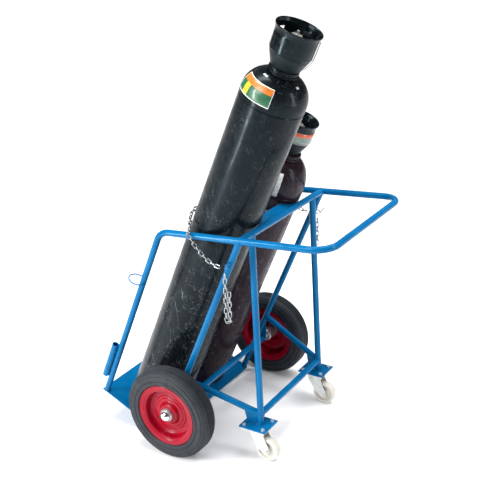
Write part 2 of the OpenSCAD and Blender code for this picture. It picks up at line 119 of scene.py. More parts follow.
class StageSizes(bpy.types.PropertyGroup):
    lens: FloatProperty(name="Lens", description="Focal length on a 36 mm sensor", default=64.4, min=20,
                        max=200, unit="CAMERA")
    floor_size: length(60000, "Floor", "Side of the square floor")
    sky: FloatProperty(name="Sky", description="Brightness of the white surroundings", default=0.4, min=0,
                       max=2)


# ---------------------------------------------------------------- materials

def add_node(tree, kind, links=(), **settings):
    """A node with settings, fed by links of (input name or number, socket or value)."""
    node = tree.nodes.new(kind)
    for key, value in settings.items():
        setattr(node, key, value)
    for key, value in links:
        if isinstance(value, bpy.types.NodeSocket):
            tree.links.new(value, node.inputs[key])
        else:
            node.inputs[key].default_value = value
    return node


def new_material(name, **base):
    """A material with a Principled shader whose constants are set on its own sockets."""
    mat = bpy.data.materials.new(name)
    mat.use_nodes = True
    tree = mat.node_tree
    shader = tree.nodes["Principled BSDF"]
    for key, value in base.items():
        key = key.replace("_", " ")
        if key == "Base Color":
            value = (*value, 1)
        shader.inputs[key].default_value = value
    place = add_node(tree, "ShaderNodeTexCoord").outputs["Object"]
    return mat, tree, shader, place


def ramp(tree, fac, *stops):
    """A Color Ramp with stops of (position, grey value or linear colour)."""
    node = add_node(tree, "ShaderNodeValToRGB", [("Fac", fac)])
    ends = node.color_ramp.elements
    while len(ends) < len(stops):
        ends.new(0.5)
    for end, (pos, value) in zip(ends, stops):
        end.position = pos
        end.color = (value, value, value, 1) if isinstance(value, (int, float)) else (*value, 1)
    return node.outputs["Color"]


def noise(tree, place, scale, detail=3.0, rough=0.5, distort=0.0):
    """A noise texture's grey value."""
    links = [("Vector", place), ("Scale", scale), ("Detail", detail), ("Roughness", rough),
             ("Distortion", distort)]
    return add_node(tree, "ShaderNodeTexNoise", links).outputs["Fac"]


def mix(tree, fac, a, b):
    """The colour a, turned into b where fac is 1."""
    node = add_node(tree, "ShaderNodeMix", data_type="RGBA")
    for key, value in ((0, fac), (6, a), (7, b)):
        if isinstance(value, bpy.types.NodeSocket):
            tree.links.new(value, node.inputs[key])
        else:
            node.inputs[key].default_value = value if key == 0 else (*value, 1)
    return node.outputs[2]


def times(tree, a, b):
    """The product of two values."""
    return add_node(tree, "ShaderNodeMath", [(0, a), (1, b)], operation="MULTIPLY").outputs[0]


def bump(tree, shader, height, strength, distance):
    """Feeds a height into a shader's normal."""
    links = [("Height", height), ("Strength", strength), ("Distance", distance)]
    node = add_node(tree, "ShaderNodeBump", links)
    tree.links.new(node.outputs["Normal"], shader.inputs["Normal"])


def enamel(name, base, dust=0.35):
    """Stove enamel, sprayed and baked: deep gloss with a faint orange peel of about 3 mm, dull handled
    patches and small pale chips where metal parts have knocked it."""
    mat, tree, shader, place = new_material(name, Base_Color=base, Roughness=0.2, Specular_IOR_Level=0.13,
                                            Specular_Tint=(0.1, 0.8, 1, 1), Coat_Weight=0.16,
                                            Coat_Roughness=0.03)
    cloud = noise(tree, place, 7, 4)
    tone = mix(tree, ramp(tree, cloud, (0.35, 0.0), (0.7, 1.0)), tuple(c * 0.86 for c in base),
               tuple(min(1, c * 1.08 + 0.004) for c in base))
    chips = ramp(tree, noise(tree, place, 130, 5, 0.7), (0.72, 0.0), (0.75, dust))
    tone = mix(tree, chips, tone, tuple(min(1, c * 0.5 + 0.25) for c in base))
    grime = ramp(tree, noise(tree, place, 18, 6, 0.7), (0.58, 0.0), (0.8, 0.4))
    tone = mix(tree, grime, tone, tuple(c * 0.55 for c in base))
    tree.links.new(tone, shader.inputs["Base Color"])
    tree.links.new(ramp(tree, noise(tree, place, 30, 4), (0.35, 0.13), (0.75, 0.33)),
                   shader.inputs["Roughness"])
    bump(tree, shader, noise(tree, place, 330, 2), 0.06, 0.0005)
    return mat


def scratches(tree, place, turn, stretch, scale, width):
    """Thin straight scores: ridges of a noise drawn out along one direction."""
    turned = add_node(tree, "ShaderNodeMapping", [("Vector", place), ("Rotation", turn), ("Scale", stretch)])
    ridge = noise(tree, turned.outputs["Vector"], scale, 2, 0.4, 0.6)
    band = add_node(tree, "ShaderNodeMath", [(0, ridge), (1, 0.5)], operation="SUBTRACT")
    band = add_node(tree, "ShaderNodeMath", [(0, band.outputs[0])], operation="ABSOLUTE")
    return ramp(tree, band.outputs[0], (0.0, 1.0), (width, 0.0))


def cylinder_paint(name, base, pale, rust):
    """Brushed gloss paint on a steel gas cylinder: orange peel, pale scores down and across the body, short
    nicks from handling, and rust-brown scores and nicks, all of them strongest near the foot."""
    mat, tree, shader, place = new_material(name, Base_Color=base, Roughness=0.2, Specular_IOR_Level=0.12,
                                            Specular_Tint=(0.66, 0.87, 1, 1), Coat_Weight=0.07,
                                            Coat_Roughness=0.06)
    cloud = noise(tree, place, 6, 5, 0.6)
    tone = mix(tree, ramp(tree, cloud, (0.35, 0.0), (0.7, 1.0)), tuple(c * 0.75 for c in base),
               tuple(c * 1.4 + 0.003 for c in base))
    # Wear fades from the foot to the shoulder.
    height = add_node(tree, "ShaderNodeSeparateXYZ", [("Vector", place)]).outputs["Z"]
    fade = [("Value", height), ("From Min", 0.35), ("From Max", 1.15), ("To Min", 1.0), ("To Max", 0.3)]
    wear = add_node(tree, "ShaderNodeMapRange", fade).outputs["Result"]
    # Scores: turn, stretch, width, the scale of their patches, where a patch starts, shade.
    marks = (((0.0, -LEAN, 0.3), (55, 60, 4), 0.006, 13, 0.50, pale),
             ((0.5, 0.2, 0.9), (6, 70, 40), 0.007, 17, 0.52, rust),
             ((-0.7, -0.5, 0.2), (70, 9, 34), 0.007, 21, 0.50, pale),
             ((0.3, -1.0, -0.4), (45, 50, 11), 0.006, 15, 0.54, pale))
    for turn, stretch, width, patch, start, shade in marks:
        score = scratches(tree, place, turn, stretch, 1.0, width)
        where = ramp(tree, noise(tree, place, patch, 5, 0.65), (start, 0.0), (start + 0.09, 0.85))
        tone = mix(tree, times(tree, times(tree, score, where), wear), tone, shade)
    # Nicks: scale, where they start, strength, shade.
    for scale, start, amount, shade in ((170, 0.68, 0.8, pale), (80, 0.715, 0.6, rust)):
        nick = ramp(tree, noise(tree, place, scale, 5, 0.75), (start, 0.0), (start + 0.03, amount))
        tone = mix(tree, times(tree, nick, wear), tone, shade)
    tree.links.new(tone, shader.inputs["Base Color"])
    tree.links.new(ramp(tree, noise(tree, place, 22, 5, 0.6), (0.3, 0.16), (0.7, 0.4)),
                   shader.inputs["Roughness"])
    bump(tree, shader, noise(tree, place, 120, 4, 0.55), 0.16, 0.0008)
    return mat


def rubber(name, base):
    """Cured solid rubber, moulded: matt black with a grey bloom of dust in the low places."""
    mat, tree, shader, place = new_material(name, Base_Color=base, Roughness=0.5, Specular_IOR_Level=0.3)
    bloom = ramp(tree, noise(tree, place, 14, 5, 0.6), (0.35, 0.0), (0.8, 0.6))
    tree.links.new(mix(tree, bloom, base, tuple(c * 2.2 + 0.01 for c in base)), shader.inputs["Base Color"])
    tree.links.new(ramp(tree, noise(tree, place, 40, 4), (0.3, 0.45), (0.7, 0.68)),
                   shader.inputs["Roughness"])
    bump(tree, shader, noise(tree, place, 700, 3), 0.15, 0.0004)
    return mat


def zinc(name, base, rough=0.34, metal=0.6):
    """Electroplated zinc on pressed steel: pale bluish metal, slightly cloudy, with soft reflections."""
    mat, tree, shader, place = new_material(name, Base_Color=base, Metallic=metal, Roughness=rough)
    cloud = noise(tree, place, 45, 4, 0.6)
    tree.links.new(mix(tree, cloud, tuple(c * 0.78 for c in base), base), shader.inputs["Base Color"])
    tree.links.new(ramp(tree, noise(tree, place, 120, 3), (0.3, rough - 0.1), (0.7, rough + 0.12)),
                   shader.inputs["Roughness"])
    bump(tree, shader, noise(tree, place, 500, 2), 0.1, 0.0003)
    return mat


def polished(name, base, rough=0.06):
    """Chromium plate, buffed: a sharp mirror with faint hazing."""
    mat, tree, shader, place = new_material(name, Base_Color=base, Metallic=1.0, Roughness=rough)
    tree.links.new(ramp(tree, noise(tree, place, 60, 4), (0.3, rough), (0.8, rough + 0.12)),
                   shader.inputs["Roughness"])
    return mat


def nylon(name, base):
    """Cast polyamide, turned: waxy off-white that lets a little light in, scuffed where it rolls."""
    mat, tree, shader, place = new_material(name, Base_Color=base, Roughness=0.38, Subsurface_Weight=0.12,
                                            Subsurface_Scale=0.01, IOR=1.53)
    dirt = ramp(tree, noise(tree, place, 35, 6, 0.65), (0.5, 0.0), (0.75, 0.55))
    dirty = tuple(c * f for c, f in zip(base, (0.72, 0.7, 0.66)))
    tree.links.new(mix(tree, dirt, base, dirty), shader.inputs["Base Color"])
    tree.links.new(ramp(tree, noise(tree, place, 90, 4), (0.3, 0.3), (0.7, 0.5)), shader.inputs["Roughness"])
    bump(tree, shader, noise(tree, place, 260, 3), 0.12, 0.0004)
    return mat


def moulded(name, base, rough):
    """Polyethylene guard, injection moulded: even black skin with a fine sheen and light rub marks."""
    mat, tree, shader, place = new_material(name, Base_Color=base, Roughness=rough, Specular_IOR_Level=0.2,
                                            Specular_Tint=(0.7, 0.92, 1, 1))
    rub = ramp(tree, noise(tree, place, 70, 5, 0.65), (0.55, 0.0), (0.75, 0.5))
    tree.links.new(mix(tree, rub, base, tuple(c * 2 + 0.02 for c in base)), shader.inputs["Base Color"])
    tree.links.new(ramp(tree, noise(tree, place, 35, 4), (0.3, rough - 0.08), (0.7, rough + 0.15)),
                   shader.inputs["Roughness"])
    bump(tree, shader, noise(tree, place, 300, 3), 0.1, 0.0004)
    return mat


def sticker(name, field, strip, edge, panel):
    """Printed vinyl sticker: plain colour panels inside a pale edge, rubbed through in places."""
    mat, tree, shader, place = new_material(name, Base_Color=field, Roughness=0.35, Coat_Weight=0.3)
    uv = add_node(tree, "ShaderNodeUVMap", uv_map="panel").outputs["UV"]
    part = add_node(tree, "ShaderNodeSeparateXYZ", [("Vector", uv)])
    x, y = part.outputs["X"], part.outputs["Y"]
    tone = mix(tree, ramp(tree, x, (0.24, 0.0), (0.25, 1.0), (0.4, 1.0), (0.41, 0.0)), field, panel)
    tone = mix(tree, ramp(tree, y, (0.66, 0.0), (0.67, 1.0)), tone, strip)
    worn = ramp(tree, noise(tree, place, 150, 5, 0.7), (0.52, 0.0), (0.6, 0.7))
    tone = mix(tree, worn, tone, tuple(c * 0.25 + 0.02 for c in field))
    for axis in (x, y):
        cut = 0.018 if axis == x else 0.04
        border = ramp(tree, axis, (0.0, 1.0), (cut, 1.0), (cut + 0.01, 0.0), (1 - cut, 0.0),
                      (1 - cut + 0.01, 1.0))
        tone = mix(tree, border, tone, edge)
    tree.links.new(tone, shader.inputs["Base Color"])
    return mat


MATERIALS = {}


def material(key):
    """The cart's materials, made once, by the name of the finish."""
    if not MATERIALS:
        paint = bpy.context.scene.cart_paint
        MATERIALS.update(
            blue=enamel("Blue stove enamel", tuple(paint.frame_blue)),
            red=enamel("Red stove enamel", tuple(paint.rim_red), 0.15),
            black=cylinder_paint("Black cylinder paint", tuple(paint.tall_black), linear("#8D9494"),
                                 linear("#6B5448")),
            maroon=cylinder_paint("Maroon cylinder paint", tuple(paint.short_maroon), linear("#8E7F84"),
                                  linear("#5D4A44")),
            rubber=rubber("Cured tyre rubber", tuple(paint.rubber)),
            zinc=zinc("Zinc plated steel", linear("#DADCDA")),
            chain=zinc("Zinc plated chain wire", linear("#A6AAAC"), 0.24, 1.0),
            steel=zinc("Turned bright steel", linear("#B9BBBC"), 0.28),
            chrome=polished("Chromium plate", linear("#E4E7EA")),
            nylon=nylon("Cast nylon", tuple(paint.nylon)),
            guard=moulded("Moulded polyethylene, gloss", linear("#060B0E"), 0.16),
            guard_base=moulded("Moulded polyethylene, matt", linear("#0E1417"), 0.4),
            brass=polished("Chromed brass valve", linear("#D6D2C8"), 0.3),
            label=sticker("Printed vinyl sticker", linear("#1C5A3A"), linear("#D8691A"), linear("#DDE3DA"),
                          linear("#D9B52C")),
            band=sticker("Printed vinyl band", linear("#6F8378"), linear("#D0562C"), linear("#8E8F88"),
                         linear("#6A7F74")),
            paper=sticker("Plain paper sticker", linear("#C9CCC9"), linear("#D5D7D3"), linear("#B9BCB9"),
                          linear("#BFC3C0")),
        )
    return MATERIALS[key]


# ---------------------------------------------------------------- mesh helpers

def join_seams(bm):
    """Makes vertices that meet into one and turns the faces the same way."""
    bmesh.ops.remove_doubles(bm, verts=bm.verts, dist=JOIN)
    bmesh.ops.recalc_face_normals(bm, faces=bm.faces)


def face_outwards(bm):
    """Turns the faces of an open piece away from the Z axis."""
    away = 0
    for face in bm.faces:
        middle = face.calc_center_median()
        away += face.normal.x * middle.x + face.normal.y * middle.y
    if away < 0:
        bmesh.ops.reverse_faces(bm, faces=bm.faces)


def finish_mesh(name, bm, body, key, place=None, smooth=38, weld=True):
    """Turns a bmesh into a finished piece that rides on a body."""
    if weld:
        join_seams(bm)
    if place is not None:
        bmesh.ops.transform(bm, matrix=place, verts=bm.verts)
    mesh = bpy.data.meshes.new(name)
    bm.to_mesh(mesh)
    bm.free()
    mesh.polygons.foreach_set("use_smooth", [True] * len(mesh.polygons))
    mesh.set_sharp_from_angle(angle=math.radians(smooth))
    piece = bpy.data.objects.new(name, mesh)
    bpy.context.scene.collection.objects.link(piece)
    for finish in ([key] if isinstance(key, str) else key):
        mesh.materials.append(material(finish))
    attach(piece, body)
    return piece


def turned(bm, profile, steps, closed=True, round_mm=0.0, angle=2 * math.pi, start=0.0):
    """Spins a profile of (radius, height) in mm round Z, its corners rounded first."""
    verts = [bm.verts.new((r * MM, 0, z * MM)) for r, z in profile]
    pairs = list(zip(verts, verts[1:] + verts[:1])) if closed else list(zip(verts, verts[1:]))
    edges = [bm.edges.new(p) for p in pairs]
    if round_mm:
        ends = verts if closed else verts[1:-1]
        bmesh.ops.bevel(bm, geom=ends, offset=round_mm * MM, offset_type="OFFSET", segments=3, profile=0.5,
                        affect="VERTICES", clamp_overlap=True, material=-1)
        edges = [e for e in bm.edges if not e.link_faces]
        verts = [v for v in bm.verts if not v.link_faces]
    if start:
        bmesh.ops.rotate(bm, verts=verts, cent=(0, 0, 0), matrix=Matrix.Rotation(start, 3, "Z"))
    bmesh.ops.spin(bm, geom=verts + edges, cent=(0, 0, 0), axis=(0, 0, 1), dvec=(0, 0, 0), angle=angle,
                   steps=steps, use_merge=abs(angle - 2 * math.pi) < JOIN, use_normal_flip=False,
                   use_duplicate=False)


def mirrored(half):
    """A closed profile from its upper half, given from the inside outwards and then down to the middle."""
    return half + [(r, -z) for r, z in reversed(half)]


def axle_place(joint, outwards):
    """Places a piece turned round Z on a joint along Y, with its +Z outwards."""
    turn = Matrix.Rotation(math.radians(-90 if outwards > 0 else 90), 4, "X")
    return Matrix.Translation(Vector(JOINT[joint]["pos_m"])) @ turn


def cylinder_place(which):
    """Places a piece turned round Z in a gas cylinder, with Z up its axis from its foot."""
    sizes = bpy.context.scene.cylinder_sizes
    height = getattr(sizes, which + "_body") + getattr(sizes, which + "_shoulder") + VALVE_RISE
    foot = Vector(JOINT[which + "_valve_turn"]["pos_m"]) - UP * height
    turn = Matrix((ACROSS, SIDE, UP)).transposed().to_4x4()
    return Matrix.Translation(foot) @ turn


# ---------------------------------------------------------------- pieces

# Each side's name, and which way along Y is outwards there.
SIDES = (("left", -1), ("right", 1))

# Tyre: (inset from the tread, drop from the sidewall's highest ring) in mm, from the rim outwards; then the
# heights of the grooves above the middle plane, and half a groove's width at its top and at its bed.
TYRE_SIDE = ((79.5, 9), (59, 7.4), (58, 4), (55.5, 1), (53, 0.2), (46, 0), (43.5, 0.5), (42.5, 2.6),
             (40, 2.6), (39, 0.6), (24, 0.8), (22, 2), (21, 4), (17.5, 4.4), (16, 3), (11.5, 5), (10.5, 7.4),
             (7.5, 9.4), (5.6, 8.6), (3, 13), (3.6, 15.5), (1.6, 17), (0.3, 20))
TYRE_GROOVES = (15.5, 7.5)
GROOVE_TOP = 2.4
GROOVE_BED = 1.5

# Rim: (radius, height) in mm of the pressed steps from the hub outwards, the sheet's thickness, and the
# rubber plug's section and its place in the dish.
DISH_STEPS = ((26.2, 24), (30, 24), (37, 22.5), (42, 18), (45, 12.5), (48, 10), (59, 9.5), (61, 7), (63, 6.5),
              (70, 6.5), (72, 4.2), (74, 3.8), (82, 3.8), (84, 5.2), (88, 5.6), (92, 8), (95.5, 15))
RIM_SHEET = 2.2
PLUG_SECTION = ((0.5, 17.2), (3.2, 17.2), (5.0, 16.8), (5.8, 15.8), (5.8, 9))
PLUG_SPOT = (-44 * MM, -30 * MM, 0)

# Valve guard: its foot above the shoulder's top, the height where gloss starts, and the window's low and high
# edges, all in mm; then half the window's width in metres.
GUARD_FOOT = 24
GUARD_GLOSS = 54
WINDOW_HEIGHTS = (57, 110)
WINDOW_HALF = 34 * MM

# Strap: half its width in metres, its thickness in mm and its place round the guard in degrees.
STRAP_HALF = 3.2 * MM
STRAP_SHEET = 1.4
STRAP_ANGLE = 12

STICKER_SHEET = 0.35
BEAD_RADIUS = 2.3
BEAD_RIPPLE = 0.22

# The CAD parts that are kept as they are, by finish.
CAD_FINISH = {
    "blue": ["hoop_tube", "top_crossbar", "back_tube_left", "back_tube_right", "leg_left", "leg_right",
             "low_rail_left", "low_rail_right", "low_crossbar", "cradle_plate", "toe_plate", "axle_housing",
             "axle_gusset_left", "axle_gusset_right", "castor_plate_left", "castor_plate_right",
             "foot_gusset_left", "foot_gusset_right", "rod_socket", "rod_ring", "chain_lugs"],
    "zinc": ["castor_head_left", "castor_head_right", "castor_bolts", "castor_nuts", "fork_left",
             "fork_right", "kingpin_left", "kingpin_right", "castor_axle_left", "castor_axle_right"],
    "chain": ["chain_left", "chain_right", "chain_hooks"],
    "steel": ["axle_bar", "hub_left", "hub_right", "tall_spindle", "short_spindle"],
    "chrome": ["axle_cap_left", "axle_cap_right"],
    "brass": ["tall_valve", "short_valve"],
    "black": ["tall_neck_ring"],
    "maroon": ["short_neck_ring"],
}


class CART_OT_finish_frame(bpy.types.Operator):
    """Gives every kept CAD part its paint or plating"""
    bl_idname = "cart.finish_frame"
    bl_label = "Frame finishes"

    def execute(self, context):
        for key, names in CAD_FINISH.items():
            for name in names:
                mesh = frame["nodes"][name].data
                mesh.materials.clear()
                mesh.materials.append(material(key))
        return {"FINISHED"}


class CART_OT_tyres(bpy.types.Operator):
    """Turns the two solid tyres, with ribs round the tread and stepped sidewalls"""
    bl_idname = "cart.tyres"
    bl_label = "Tyres"

    def execute(self, context):
        sizes = context.scene.wheel_sizes
        edge = sizes.tyre_radius / MM
        wall = sizes.tyre_half_width / MM
        bed = edge - sizes.groove_depth / MM
        half = [(edge - inset, wall - drop) for inset, drop in TYRE_SIDE]
        for z in TYRE_GROOVES:
            half += [(edge, z + GROOVE_TOP), (bed, z + GROOVE_BED), (bed, z - GROOVE_BED),
                     (edge, z - GROOVE_TOP)]
        half += [(edge, GROOVE_TOP), (bed, GROOVE_BED)]
        for side, out in SIDES:
            bm = bmesh.new()
            turned(bm, mirrored(half), sizes.steps + 32, round_mm=0.45)
            piece = finish_mesh(f"solid_tyre_{side}", bm, f"wheel_{side}", "rubber",
                                axle_place(f"wheel_{side}_spin", out), smooth=40)
            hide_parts(f"tyre_{side}")
        return {"FINISHED"}


class CART_OT_rims(bpy.types.Operator):
    """Turns the two pressed rims, each with a stepped dish, a barrel, two flanges and a small plug"""
    bl_idname = "cart.rims"
    bl_label = "Pressed rims"

    def execute(self, context):
        sizes = context.scene.wheel_sizes
        flange = sizes.rim_radius / MM
        edge = sizes.tyre_half_width / MM - 4
        dish = list(DISH_STEPS)
        dish += [(98, edge - 10), (101, edge - 5.5), (106, edge - 4.5), (109, edge - 2.5), (113, edge - 2),
                 (flange - 5, edge - 0.8), (flange - 1.5, edge + 0.3), (flange, edge - 0.6)]
        barrel = [(98, 12), (99, 0), (99, -edge + 9), (102, -edge + 5.5), (108, -edge + 4), (112, -edge + 2),
                  (flange - 5, -edge + 0.8), (flange - 1.5, -edge - 0.3), (flange, -edge + 0.6)]
        for side, out in SIDES:
            place = axle_place(f"wheel_{side}_spin", out)
            for part, line in (("dish", dish), ("barrel", barrel)):
                bm = bmesh.new()
                turned(bm, line, sizes.steps, closed=False, round_mm=1.6)
                join_seams(bm)
                bmesh.ops.solidify(bm, geom=bm.faces[:], thickness=RIM_SHEET * MM)
                piece = finish_mesh(f"pressed_{part}_{side}", bm, f"wheel_{side}", "red",
                                    place, smooth=50)
                if part == "dish":
                    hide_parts(f"rim_{side}")
            bm = bmesh.new()
            turned(bm, PLUG_SECTION, 24, round_mm=0.4)
            finish_mesh(f"rim_plug_{side}", bm, f"wheel_{side}", "rubber",
                        place @ Matrix.Translation(PLUG_SPOT), smooth=40)
        return {"FINISHED"}


class CART_OT_castor_wheels(bpy.types.Operator):
    """Turns the two nylon castor wheels, with a thick tread, a thin web and a boss"""
    bl_idname = "cart.castor_wheels"
    bl_label = "Castor wheels"

    def execute(self, context):
        sizes = context.scene.wheel_sizes
        edge = sizes.castor_radius / MM
        face = sizes.castor_width / MM / 2
        half = [(5.1, face), (12.5, face), (14.5, face - 3), (16, face - 9), (edge - 17, face - 10),
                (edge - 14, face - 4), (edge - 12.5, face - 0.6), (edge - 6, face), (edge - 2, face - 2.5),
                (edge - 0.3, face - 7), (edge, face - 12)]
        for side, out in SIDES:
            bm = bmesh.new()
            turned(bm, mirrored(half), sizes.steps - 16, round_mm=1.0)
            piece = finish_mesh(f"nylon_wheel_{side}", bm, f"castor_roller_{side}", "nylon",
                                axle_place(f"castor_{side}_roll", out), smooth=45)
            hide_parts(f"castor_wheel_{side}")
        return {"FINISHED"}


def shoulder_curve(radius, neck, low, high, count=14):
    """Points (radius, height) in mm up the domed shoulder of a gas cylinder."""
    turns = [math.pi / 2 * i / count for i in range(count + 1)]
    return [(neck + (radius - neck) * math.cos(turn), low + (high - low) * math.sin(turn)) for turn in turns]


class CART_OT_cylinders(bpy.types.Operator):
    """Turns the two gas cylinder shells, with a rolled foot, a paint step and a domed shoulder"""
    bl_idname = "cart.cylinders"
    bl_label = "Gas cylinder shells"

    def execute(self, context):
        sizes = context.scene.cylinder_sizes
        neck = sizes.neck_radius / MM - 1
        for which, key, slot in (("tall", "black", "black_paint"), ("short", "maroon", "maroon_paint")):
            radius = getattr(sizes, which + "_radius") / MM
            body = getattr(sizes, which + "_body") / MM
            top = body + getattr(sizes, which + "_shoulder") / MM
            profile = [(0, 0.6), (radius - 14, 0.6), (radius - 5, 3.5), (radius - 0.9, 12),
                       (radius - 0.6, 30), (radius - 0.6, body - 22), (radius - 2.4, body - 19.5),
                       (radius - 2.4, body - 17), (radius - 0.2, body - 14.5), (radius, body - 8)]
            profile += shoulder_curve(radius, neck, body, top)
            profile += [(neck - 7, top + 1), (neck - 7.5, top + 7), (0, top + 7)]
            bm = bmesh.new()
            turned(bm, profile, 112, closed=False)
            piece = finish_mesh(f"{which}_cylinder_shell", bm, f"{which}_cylinder", key,
                                cylinder_place(which), smooth=30)
            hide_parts(f"{which}_shell")
        return {"FINISHED"}


class CART_OT_guards(bpy.types.Operator):
    """Turns the two moulded valve guards, each with a conical foot, a cup, a flared lip and a side window"""
    bl_idname = "cart.guards"
    bl_label = "Valve guards"

    def execute(self, context):
        sizes = context.scene.cylinder_sizes
        lip = sizes.guard_height / MM
        inner = sizes.neck_radius / MM - 14
        for which in ("tall", "short"):
            cup = getattr(sizes, which + "_guard") / MM
            base = (getattr(sizes, which + "_body") + getattr(sizes, which + "_shoulder")) / MM + GUARD_FOOT
            outer = [(inner, 0.8), (cup - 26, 0.8), (cup - 23.4, 2.4), (cup - 4.6, 48), (cup - 4.2, 52.6),
                     (cup - 1, 56), (cup - 0.4, lip - 26), (cup + 1.5, lip - 13), (cup + 5.5, lip - 4.6),
                     (cup + 5.5, lip - 1.4), (cup + 4.4, lip - 0.5)]
            bm = bmesh.new()
            turned(bm, [(x, z + base) for x, z in outer], 96, closed=False, round_mm=1.2)
            join_seams(bm)
            low, high = ((base + z) * MM for z in WINDOW_HEIGHTS)
            cuts = (((0, 0, low), (0, 0, 1)), ((0, 0, high), (0, 0, 1)), ((0, WINDOW_HALF, 0), (0, 1, 0)),
                    ((0, -WINDOW_HALF, 0), (0, 1, 0)))
            for spot, way in cuts:
                bmesh.ops.bisect_plane(bm, geom=bm.verts[:] + bm.edges[:] + bm.faces[:], plane_co=spot,
                                       plane_no=way, dist=JOIN)
            middle = {face: face.calc_center_median() for face in bm.faces}
            gone = [face for face, spot in middle.items()
                    if low < spot.z < high and spot.x < 0 and abs(spot.y) < WINDOW_HALF]
            bmesh.ops.delete(bm, geom=gone, context="FACES")
            for face in bm.faces:
                face.material_index = int(face.calc_center_median().z < (base + GUARD_GLOSS) * MM)
            face_outwards(bm)
            bmesh.ops.solidify(bm, geom=bm.faces[:], thickness=sizes.guard_wall)
            piece = finish_mesh(f"{which}_valve_guard", bm, f"{which}_cylinder", ("guard", "guard_base"),
                                cylinder_place(which), smooth=40)
            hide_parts(f"{which}_guard")
        return {"FINISHED"}


class CART_OT_strap(bpy.types.Operator):
    """Hangs the thin strap from the lip of the tall cylinder's guard"""
    bl_idname = "cart.strap"
    bl_label = "Guard strap"

    def execute(self, context):
        sizes = context.scene.cylinder_sizes
        base = (sizes.tall_body + sizes.tall_shoulder) / MM + GUARD_FOOT
        lip = sizes.guard_height / MM
        cup = sizes.tall_guard / MM
        line = [(cup + 2.2, lip - 16), (cup + 3.6, lip - 22), (cup + 3.2, lip - 60), (cup + 2.4, lip - 84),
                (cup - 5, lip - 104), (cup - 16, lip - 124)]
        bm = bmesh.new()
        rows = []
        for x, z in line:
            rows.append([bm.verts.new((x * MM, y, (z + base) * MM)) for y in (-STRAP_HALF, STRAP_HALF)])
        for one, two in zip(rows, rows[1:]):
            bm.faces.new((one[0], one[1], two[1], two[0]))
        bmesh.ops.subdivide_edges(bm, edges=bm.edges[:], cuts=1, smooth=1.0)
        bmesh.ops.solidify(bm, geom=bm.faces[:], thickness=STRAP_SHEET * MM)
        turn = Matrix.Rotation(math.radians(STRAP_ANGLE), 4, "Z")
        finish_mesh("guard_strap", bm, "tall_cylinder", "guard_base",
                    cylinder_place("tall") @ turn)
        return {"FINISHED"}


class CART_OT_labels(bpy.types.Operator):
    """Wraps plain coloured stickers round the cylinders' shoulders and the short cylinder's guard"""
    bl_idname = "cart.labels"
    bl_label = "Stickers"

    def execute(self, context):
        sizes = context.scene.cylinder_sizes
        tall_radius = sizes.tall_radius / MM
        short_radius = sizes.short_radius / MM
        tall_body = sizes.tall_body / MM
        short_body = sizes.short_body / MM
        rise = sizes.short_shoulder / MM
        neck = sizes.neck_radius / MM - 1
        dome = shoulder_curve(tall_radius + 0.5, neck, tall_body, tall_body + sizes.tall_shoulder / MM)
        far_dome = shoulder_curve(short_radius + 0.5, neck, short_body, short_body + rise)
        foot = short_body + rise + GUARD_FOOT
        cup = [(sizes.short_guard / MM + 0.5, foot + z) for z in (60, 75, 90, 108)]
        far_line = [(short_radius + 0.4, short_body - 12)] + far_dome[:8]
        # Name, cylinder, line up the side, first angle and sweep in degrees, finish.
        wraps = (("tall_shoulder_sticker", "tall", dome[:8], -146, 78, "label"),
                 ("short_guard_sticker", "short", cup, -75, 120, "band"),
                 ("short_shoulder_sticker", "short", far_line, -70, 13, "paper"),
                 ("tall_neck_tag_left", "tall", dome[10:12], -118, 16, "paper"),
                 ("tall_neck_tag_right", "tall", dome[9:11], -18, 9, "paper"))
        for name, which, line, first, sweep, key in wraps:
            bm = bmesh.new()
            turned(bm, line, 24, closed=False, angle=math.radians(sweep), start=math.radians(first))
            bmesh.ops.remove_doubles(bm, verts=bm.verts, dist=JOIN)
            uv = bm.loops.layers.uv.new("panel")
            low, high = line[0][1] * MM, line[-1][1] * MM
            for face in bm.faces:
                for loop in face.loops:
                    co = loop.vert.co
                    turn = math.degrees(math.atan2(co.y, co.x))
                    loop[uv].uv = ((turn - first) / sweep, (co.z - low) / (high - low))
            face_outwards(bm)
            piece = finish_mesh(name, bm, f"{which}_cylinder", key,
                                cylinder_place(which), smooth=60, weld=False)
            skin = piece.modifiers.new("thickness", "SOLIDIFY")
            skin.thickness = STICKER_SHEET * MM
            skin.offset = 1
        return {"FINISHED"}


def tube_axis(name, radius, signs):
    """Middle and direction of a straight round tube, from its box; signs give the way it slopes."""
    low, high = (Vector(c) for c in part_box(name))
    half = (high - low) / 2
    way = half.normalized()
    for _ in range(30):
        reach = [max(h - radius * math.sqrt(max(0, 1 - d * d)), 0) for h, d in zip(half, way)]
        way = Vector(reach).normalized()
    return (low + high) / 2, Vector([d * g for d, g in zip(way, signs)]).normalized()


def seam(branch, branch_way, radius, distance, count=48):
    """Points where a tube meets a surface; distance(point, way) says how far off the surface is."""
    one = branch_way.orthogonal().normalized()
    two = branch_way.cross(one)
    points = []
    for i in range(count):
        a = 2 * math.pi * i / count
        start = branch + radius * (math.cos(a) * one + math.sin(a) * two)
        points.append(start + branch_way * distance(start, branch_way))
    return points


def to_tube(spot, axis, radius):
    """How far a ray from a point runs before it meets a round tube on an axis."""
    def distance(start, way):
        flat = (start - spot) - axis * (start - spot).dot(axis)
        along = way - axis * way.dot(axis)
        a, b, c = along.dot(along), 2 * flat.dot(along), flat.dot(flat) - radius * radius
        return (-b - math.sqrt(max(0, b * b - 4 * a * c))) / (2 * a)
    return distance


def to_plane(spot, normal):
    """How far a ray from a point runs before it meets a plane."""
    return lambda start, way: (spot - start).dot(normal) / way.dot(normal)


